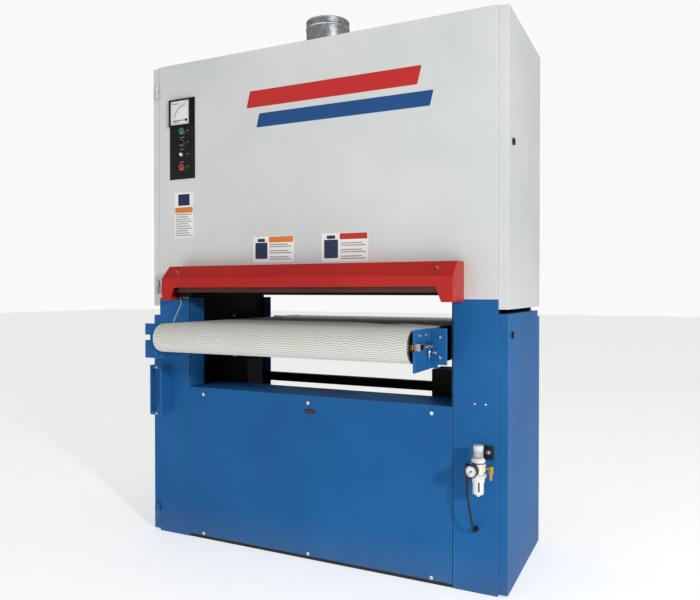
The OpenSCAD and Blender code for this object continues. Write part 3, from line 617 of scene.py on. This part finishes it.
# %% Badge
bm = bmesh.new()
oval = Matrix.Translation((0.006, front, 0.609)) @ Matrix.Diagonal((1.0, 1.0, 0.42, 1.0))
forward = AXES["y"] @ Matrix.Rotation(math.pi, 4, "X")
bmesh.ops.create_cone(bm, cap_ends=True, segments=48, radius1=0.026, radius2=0.024, depth=0.003,
                      matrix=oval @ forward)
piece("badge_rim", bm, finishes["black_plastic"], "cabinet")
bm = bmesh.new()
bmesh.ops.create_cone(bm, cap_ends=True, segments=48, radius1=0.019, radius2=0.0185,
                      depth=0.001, matrix=Matrix.Translation((0, -0.0019, 0)) @ oval @ forward)
piece("badge_field", bm, finishes["dark_red_enamel"], "cabinet")

# %% [markdown]
# ## Ammeter
# The meter has a white card behind its black frame, with a curved scale whose pivot is in the
# lower right corner. The scale is a row of ticks along an arc.

# %% Ammeter card
meter_low, meter_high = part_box("ammeter")
meter = Vector(((meter_low.x + meter_high.x) / 2, meter_low.y, (meter_low.z + meter_high.z) / 2))
pivot = meter + Vector((0.034, 0.0, -0.034))


def dial_ticks(bm, centre, y, angles, inner, outer, width, thick=0.0006):
    """Short bars pointing away from the centre, on an upright dial facing -Y."""
    for angle in angles:
        verts = add_block(bm, (inner, y - thick, -width / 2), (outer, y, width / 2))
        turn = Matrix.Rotation(-math.radians(angle), 4, "Y")
        bmesh.ops.transform(bm, matrix=Matrix.Translation((centre.x, 0, centre.z)) @ turn,
                            verts=verts)


bm = bmesh.new()
add_block(bm, (meter.x - 0.0537, meter.y + 0.0072, meter.z - 0.0537),
          (meter.x + 0.0537, meter.y + 0.0079, meter.z + 0.0537))
piece("ammeter_card", bm, lens_white, "cabinet")
bm = bmesh.new()
dial_ticks(bm, pivot, meter.y + 0.0072, [96 + 9 * k for k in range(9)], 0.068, 0.077, 0.0014)
dial_ticks(bm, pivot, meter.y + 0.0072, [96 + 2.25 * k for k in range(33)], 0.0665, 0.0680,
           0.0030)
for left, z in ((-0.042, 0.040), (-0.042, -0.036), (-0.042, -0.043)):
    add_block(bm, (meter.x + left, meter.y + 0.0066, meter.z + z),
              (meter.x + left + 0.034, meter.y + 0.0072, meter.z + z + 0.0022))
piece("ammeter_scale", bm, label_ink, "cabinet")

# %% [markdown]
# ## Operators
# Above and beside each button is a small printed legend, drawn as a blank grey bar. The pilot
# lamp has a domed lens.

# %% Operators
plate_face = front - 0.0062
bm = bmesh.new()
for z in (1.816, 1.764, 1.711, 1.655):
    for dz, width in ((0.022, 0.024), (0.0, 0.010)):
        x = -0.643 - width / 2 if dz else -0.643 + 0.026
        add_block(bm, (x, plate_face - 0.0004, z + dz), (x + width, plate_face, z + dz + 0.003))
piece("operator_legends", bm, label_grey, "cabinet")
bm = bmesh.new()
add_lathe(bm, (-0.643, front - 0.014, 1.711),
          [(0.0, 0.0), (0.0075, 0.0), (0.0075, -0.003), (0.006, -0.0055), (0.003, -0.007),
           (0.0, -0.0075)], axis="y", steps=32)
piece("pilot_lamp_lens", bm, finishes["bowl_plastic"], "cabinet")

# %% [markdown]
# ## Screws
# Screws have a hexagon head with a small raised centre, on a washer. One head is drawn here and
# used wherever a screw shows. The belt's take-up screws are plain bars with nuts and threads.

# %% Screws
def screw_head(bm, place, facing, d=0.012, washer=True):
    """A hexagon head that faces along the named axis, such as -y or +x, on its washer."""
    axis = "y" if facing.endswith("y") else "x"
    sign = -1 if facing.startswith("-") else 1
    if washer:
        add_bar(bm, place, axis, sign * 0.0015, d * 1.5, sides=24)
    add_bar(bm, place, axis, sign * 0.0065, d, sides=6, d_end=d * 0.94)
    top = Vector(place) + (AXES[axis] @ Vector((0, 0, sign * 0.0064)))
    add_bar(bm, top, axis, sign * 0.0012, d * 0.55, sides=20, d_end=d * 0.4)


bracket_x = 0.556                    # inner face of the roller bracket's plate
bracket_face = bracket_x + 0.006     # its outer face
flange_face = -0.430                 # front face of its flange
roller_z = 0.9096                    # height of the feed rollers
bm = bmesh.new()
for side in (1, -1):
    for end in (1, -1):
        for x, z in ((0.602, 0.938), (0.602, 0.866)):
            screw_head(bm, (side * x, end * flange_face, z), "-y" if end > 0 else "+y", 0.007)
        for y in (-0.535, -0.470):
            screw_head(bm, (side * bracket_face, end * y, 0.948),
                       "+x" if side > 0 else "-x", 0.008)
        # The adjusting screw below the shaft has a long thread and a lock nut
        add_bar(bm, (side * (bracket_x + 0.030), end * (flange_face - 0.030), 0.884), "y",
                end * 0.030, 0.008, sides=16)
        add_bar(bm, (side * (bracket_x + 0.030), end * (flange_face - 0.012), 0.884), "y",
                end * 0.007, 0.015, sides=6)
    # A second adjusting screw stands upright below the first
    for end in (1, -1):
        add_bar(bm, (side * (bracket_face + 0.008), end * -0.455, 0.866), "z", 0.026, 0.007,
                sides=16)
        add_bar(bm, (side * (bracket_face + 0.008), end * -0.455, 0.884), "z", 0.006, 0.014,
                sides=6)
soften(bm, 0.0004, 1, 40)
piece("bracket_bolts", bm, finishes["zinc_fasteners"], "table")

bm = bmesh.new()
for side in (1, -1):
    for end in (1, -1):
        centre = (side * (bracket_x + 0.006 + 0.010), end * -0.500, roller_z)
        for k in range(9):
            add_bar(bm, (centre[0], end * (-0.516 + 0.0085 * k), roller_z), "y", end * 0.003,
                    0.0135, sides=20, d_end=0.012)
        add_bar(bm, (centre[0], end * -0.449, roller_z), "y", end * 0.009, 0.022, sides=6)
        add_bar(bm, (centre[0], end * -0.462, roller_z), "y", end * 0.0075, 0.022, sides=6)
soften(bm, 0.0005, 1, 40)
piece("take_up_threads", bm, finishes["chrome_bezels"], "table")

# %% [markdown]
# ## Roller ends
# Each end of the front roller shows its turned rim, and a bronze bush round the shaft.

# %% Roller ends
roller_y = -0.5546
roller_end = 0.546         # where the roller's face ends
bm = bmesh.new()
for side in (1, -1):
    add_lathe(bm, (side * roller_end, roller_y, roller_z),
              [(0.0480, 0.0), (0.0530, 0.0), (0.0530, side * 0.0016), (0.0480, side * 0.0016)],
              axis="x", steps=64)
piece("roller_rims", bm, finishes["bright_steel"], "front_roller")
bm = bmesh.new()
for side in (1, -1):
    add_lathe(bm, (side * roller_end, roller_y, roller_z),
              [(0.0152, 0.0), (0.0215, 0.0), (0.0215, side * 0.0065), (0.0195, side * 0.0085),
               (0.0152, side * 0.0085)], axis="x", steps=40)
piece("shaft_bushes", bm, finishes["brass_fitting"], "front_roller")

# %% [markdown]
# ## Small fasteners on the cabinet
# These hold the covers to the columns and the head plates, and the air unit to the column.

# %% Cabinet fasteners
wall_face = 0.607          # the inside of the opening
pin = 0.0012               # how far a pin stands out of that wall
bm = bmesh.new()
for x, z in ((0.646, 0.575), (0.664, 0.572)):
    screw_head(bm, (x, front, z), "-y", 0.004, washer=False)
screw_head(bm, (air.x * MM + 0.020, front - 0.004, 0.519), "-y", 0.012)
for side in (1, -1):
    # The table frame passes 2 mm from this wall, so these heads stay flat
    add_bar(bm, (side * wall_face, 0.031, 0.981), "x", -side * pin, 0.009, sides=20)
    add_bar(bm, (side * wall_face, 0.166, 0.699), "x", -side * pin, 0.008, sides=20)
for x, z in ((-0.744, 0.552), (-0.744, 0.760)):
    screw_head(bm, (x, front - 0.063, z), "-y", 0.008)
soften(bm, 0.0004, 1, 40)
piece("cover_screws", bm, finishes["zinc_fasteners"], "cabinet")
print("air unit at", tuple(air))

# %% [markdown]
# ## Blue returns inside the opening
# The column covers are folded a hand's width back into the opening, over the black wall. A
# fold this thin is drawn as its own strip that lies on the wall.

# %% Cover returns
bm = bmesh.new()
panel_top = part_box("front_panel")[1].z
cover_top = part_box("column_covers")[1].z
for side in (1, -1):
    inner, outer = sorted((side * (wall_face - 0.0009), side * wall_face))
    add_block(bm, (inner, front + 0.003, panel_top + 0.001), (outer, front + 0.100, cover_top))
piece("cover_returns", bm, finishes["blue_enamel"], "cabinet")

# %% [markdown]
# ## Air preparation unit
# A filter and regulator in white nylon: a ribbed knob to pull and turn, a square body, a bowl
# that is closed by a bayonet collar and has a dark sight slot. The knob is ribbed by insetting
# every second side of a drum and pushing it in.

# %% Regulator knob
x0, y0 = air.x * MM, air.y * MM


def ribbed_knob():
    low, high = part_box("regulator_knob")
    skirt = 0.374 + 0.1385
    bm = bmesh.new()
    radius = (high.x - low.x) / 2
    add_bar(bm, (x0, y0, skirt), "z", high.z - skirt, 2 * radius, sides=40)
    sides = [f for f in bm.faces if abs(f.normal.z) < 0.5][::2]
    bmesh.ops.inset_individual(bm, faces=sides, thickness=0.0005, depth=-0.0009)
    tops = [e for e in bm.edges if all(abs(v.co.z - high.z) < 1e-5 for v in e.verts)
            and len(e.link_faces) == 2]
    bmesh.ops.bevel(bm, geom=tops, offset=0.003, segments=3, affect="EDGES", profile=0.5,
                    material=-1, clamp_overlap=True)
    add_bar(bm, (x0, y0, low.z), "z", skirt - low.z + 0.001, 0.0118, sides=24)
    return bm


piece("ribbed_knob", ribbed_knob(), finishes["white_plastic"], "regulator_knob",
      ["regulator_knob"])

# %% [markdown]
# ## Regulator body and bracket
# The body is a moulding: a square block between two round collars, with a hexagon round each
# side port. A bent black bracket holds its neck to the column.

# %% Regulator body
def regulator_body():
    bm = bmesh.new()
    add_lathe(bm, (x0, y0, 0.374), [(0.0, 0.060), (0.0215, 0.060), (0.0215, 0.064),
                                    (0.0205, 0.066), (0.0205, 0.118), (0.0245, 0.122),
                                    (0.0245, 0.130), (0.0190, 0.137), (0.0, 0.137)])
    add_block(bm, (x0 - 0.025, y0 - 0.0225, 0.374 + 0.066), (x0 + 0.025, y0 + 0.0225, 0.374 + 0.080))
    add_block(bm, (x0 - 0.025, y0 - 0.012, 0.374 + 0.090), (x0 + 0.025, y0 + 0.012, 0.374 + 0.117))
    for side in (1, -1):
        add_bar(bm, (x0 + side * 0.0205, y0, 0.374 + 0.104), "x", side * 0.0055, 0.026, sides=6)
    soften(bm, 0.0012, 3)
    return bm


piece("regulator_body", regulator_body(), finishes["white_plastic"], "cabinet",
      ["filter_regulator"])
bm = bmesh.new()
add_lathe(bm, (x0, y0, 0.374 + 0.1185), [(0.0246, 0.0), (0.0262, 0.0), (0.0262, 0.003),
                                        (0.0246, 0.003)])
add_block(bm, (x0 - 0.008, y0 + 0.0215, 0.374 + 0.118), (x0 + 0.008, front, 0.374 + 0.121))
add_block(bm, (x0 - 0.008, front - 0.004, 0.374 + 0.118), (x0 + 0.040, front, 0.374 + 0.168))
soften(bm, 0.0008, 2)
piece("neck_bracket", bm, finishes["black_plastic"], "cabinet")

# %% [markdown]
# ## Filter bowl
# The bowl is spun from its outline. A dark sight slot runs down its front, and a collar with
# grip ribs closes its top.

# %% Filter bowl
foot = air.z * MM
bm = bmesh.new()
add_lathe(bm, (x0, y0, foot), [(0.0, 0.0), (0.005, 0.0), (0.006, 0.002), (0.006, 0.007),
                               (0.0165, 0.0075), (0.0192, 0.010), (0.0198, 0.014),
                               (0.0198, 0.050), (0.0198, 0.0595), (0.0, 0.0595)])
piece("bowl_shell", bm, finishes["bowl_plastic"], "cabinet", ["filter_bowl"])
bm = bmesh.new()
add_block(bm, (x0 + 0.004, y0 - 0.0202, foot + 0.020), (x0 + 0.010, y0 - 0.014, foot + 0.056))
soften(bm, 0.0012, 2)
piece("bowl_sight_slot", bm, clear_dark, "cabinet")
bm = bmesh.new()
for k in range(16):
    verts = add_block(bm, (0.0205, -0.0012, foot + 0.052), (0.0219, 0.0012, foot + 0.061))
    bmesh.ops.transform(bm, verts=verts, matrix=Matrix.Translation((x0, y0, 0))
                        @ Matrix.Rotation(math.radians(22.5 * k), 4, "Z"))
add_lathe(bm, (x0, y0, foot + 0.052), [(0.0195, 0.0), (0.0208, 0.0), (0.0208, 0.009),
                                       (0.0195, 0.009)])
piece("bowl_collar", bm, finishes["white_plastic"], "cabinet")

# %% [markdown]
# ## Pressure gauge
# A white card with eleven ticks over three quarters of a turn, in a black case.

# %% Pressure gauge
gauge = Vector((x0 - 0.013, y0 - 0.050, foot + 0.097))
bm = bmesh.new()
add_lathe(bm, (gauge.x, gauge.y + 0.0047, gauge.z), [(0.0, 0.0), (0.0203, 0.0),
                                                     (0.0203, -0.0005), (0.0, -0.0005)],
          axis="y")
piece("gauge_card", bm, lens_white, "cabinet")
bm = bmesh.new()
dial_ticks(bm, gauge, gauge.y + 0.0042, [-45 + 27 * k for k in range(11)], 0.0145, 0.0180,
           0.0010)
dial_ticks(bm, gauge, gauge.y + 0.0042, [-45 + 5.4 * k for k in range(51)], 0.0172, 0.0185,
           0.0005)
piece("gauge_ticks", bm, label_ink, "cabinet")
bm = bmesh.new()
add_lathe(bm, (gauge.x, gauge.y, gauge.z), [(0.0206, 0.0), (0.0226, 0.0), (0.0234, -0.0012),
                                            (0.0226, -0.0022), (0.0209, -0.0022)], axis="y")
piece("gauge_rim", bm, finishes["black_plastic"], "cabinet")

# %% [markdown]
# ## Dust collar
# The extraction collar is rolled from galvanised sheet. It has a rolled bead near its top, a
# curled lip, and a flange with screws on the roof.

# %% Dust collar
collar_low, collar_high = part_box("dust_port")
cx, cy = (collar_low.x + collar_high.x) / 2, (collar_low.y + collar_high.y) / 2
bm = bmesh.new()
add_lathe(bm, (cx, cy, collar_high.z - 0.030), [(0.0925, -0.006), (0.0945, -0.004),
                                                (0.0958, 0.0), (0.0945, 0.004),
                                                (0.0925, 0.006)], steps=64)
add_lathe(bm, (cx, cy, collar_high.z - 0.001), [(0.0916, 0.0006), (0.0926, 0.0014),
                                                (0.0942, 0.0008), (0.0944, -0.001),
                                                (0.0930, -0.003), (0.0925, -0.003)],
          steps=64)
piece("collar_beads", bm, finishes["galvanised"], "cabinet")
bm = bmesh.new()
for k in range(8):
    turn = Matrix.Rotation(math.radians(45 * k + 22.5), 4, "Z")
    verts = add_bar(bm, (0.106, 0, 2.1225), "z", 0.003, 0.009, sides=16, d_end=0.005)
    bmesh.ops.transform(bm, verts=verts, matrix=Matrix.Translation((cx, cy, 0)) @ turn)
piece("collar_screws", bm, finishes["zinc_fasteners"], "cabinet")

# %% [markdown]
# ## Table gearmotor
# The feed motor hangs from its gearbox behind the table, so it is only seen from the back. Its
# cooling fins are thin rings, and a fan cover closes its lower end.

# %% Gearmotor fins
motor_low, motor_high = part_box("feed_gearmotor")
motor_x = (motor_low.x + motor_high.x) / 2
motor_y = (motor_low.y + motor_high.y) / 2
bm = bmesh.new()
for k in range(13):
    add_lathe(bm, (motor_x, motor_y, 0.716 + 0.0095 * k),
              [(0.048, 0.0), (0.0535, 0.0), (0.0535, 0.0022), (0.048, 0.0022)], steps=48)
add_lathe(bm, (motor_x, motor_y, motor_low.z), [(0.048, 0.0), (0.0525, 0.0015),
                                                        (0.0545, 0.005), (0.0545, 0.034),
                                                        (0.048, 0.034)], steps=48)
piece("gearmotor_fins", bm, finishes["motor_paint"], "table")
print("gearmotor box", tuple(motor_low), tuple(motor_high))

# %% [markdown]
# ## Floor and light
# A pale floor runs far back, and glows a little so that it stays pale to the horizon. The main
# light is small and stands to the right, so shadows fall to the left with a clear edge. A low
# fill in front keeps the lower panels open, and an even pale room lights the rest.

# %% Floor
bm = bmesh.new()
bmesh.ops.create_grid(bm, x_segments=2, y_segments=2, size=30.0)
floor_mesh = bpy.data.meshes.new("studio_floor")
bm.to_mesh(floor_mesh)
bm.free()
floor = bpy.data.objects.new("studio_floor", floor_mesh)
bpy.context.scene.collection.objects.link(floor)
floor_finish = moulded("backlit_white_floor", "#F6F6F4", "#FBFBFA", (0.7, 0.85), 0.02, 0.02,
                       edge=0)
glow = next(n for n in floor_finish.node_tree.nodes if n.type == "BSDF_PRINCIPLED")
glow.inputs["Emission Color"].default_value = linear("#FFFFFF")
glow.inputs["Emission Strength"].default_value = 0.46
floor_mesh.materials.append(floor_finish)

# %% Lights
def soft_light(name, place, aim, size, power, colour="#FFFFFF"):
    """A square area light at place, facing aim."""
    data = bpy.data.lights.new(name, "AREA")
    data.shape = "SQUARE"
    data.size = size
    data.energy = power
    data.color = linear(colour)[:3]
    light = bpy.data.objects.new(name, data)
    light.location = place
    light.rotation_euler = (Vector(aim) - Vector(place)).to_track_quat("-Z", "Y").to_euler()
    bpy.context.scene.collection.objects.link(light)
    return light


soft_light("key_right", (4.6, -3.4, 2.3), (0.3, -0.2, 1.1), 0.4, 145)
soft_light("fill_front", (-0.7, -4.4, 0.9), (-0.2, -0.3, 0.6), 1.6, 8)
world = bpy.data.worlds.new("pale_studio")
world.use_nodes = True
sky = world.node_tree.nodes["Background"]
sky.inputs["Color"].default_value = linear("#FFFFFF")
# The room is bright behind the machine, softer on it, and dim in its reflections
rays = add(world.node_tree, "LightPath").outputs
dim = add(world.node_tree, "MapRange", {"Value": rays["Is Glossy Ray"], "To Min": 0.41,
                                        "To Max": 0.2})
bright = add(world.node_tree, "Mix", {"Factor": rays["Is Camera Ray"],
                                      "A": dim.outputs["Result"], "B": 0.95},
             data_type="FLOAT")
world.node_tree.links.new(bright.outputs["Result"], sky.inputs["Strength"])
bpy.context.scene.world = world
bpy.context.scene.view_settings.view_transform = "Standard"

# %% [markdown]
# ## Finish
# The scene's view layer is brought up to date.

# %% Finish
bpy.context.view_layer.update()
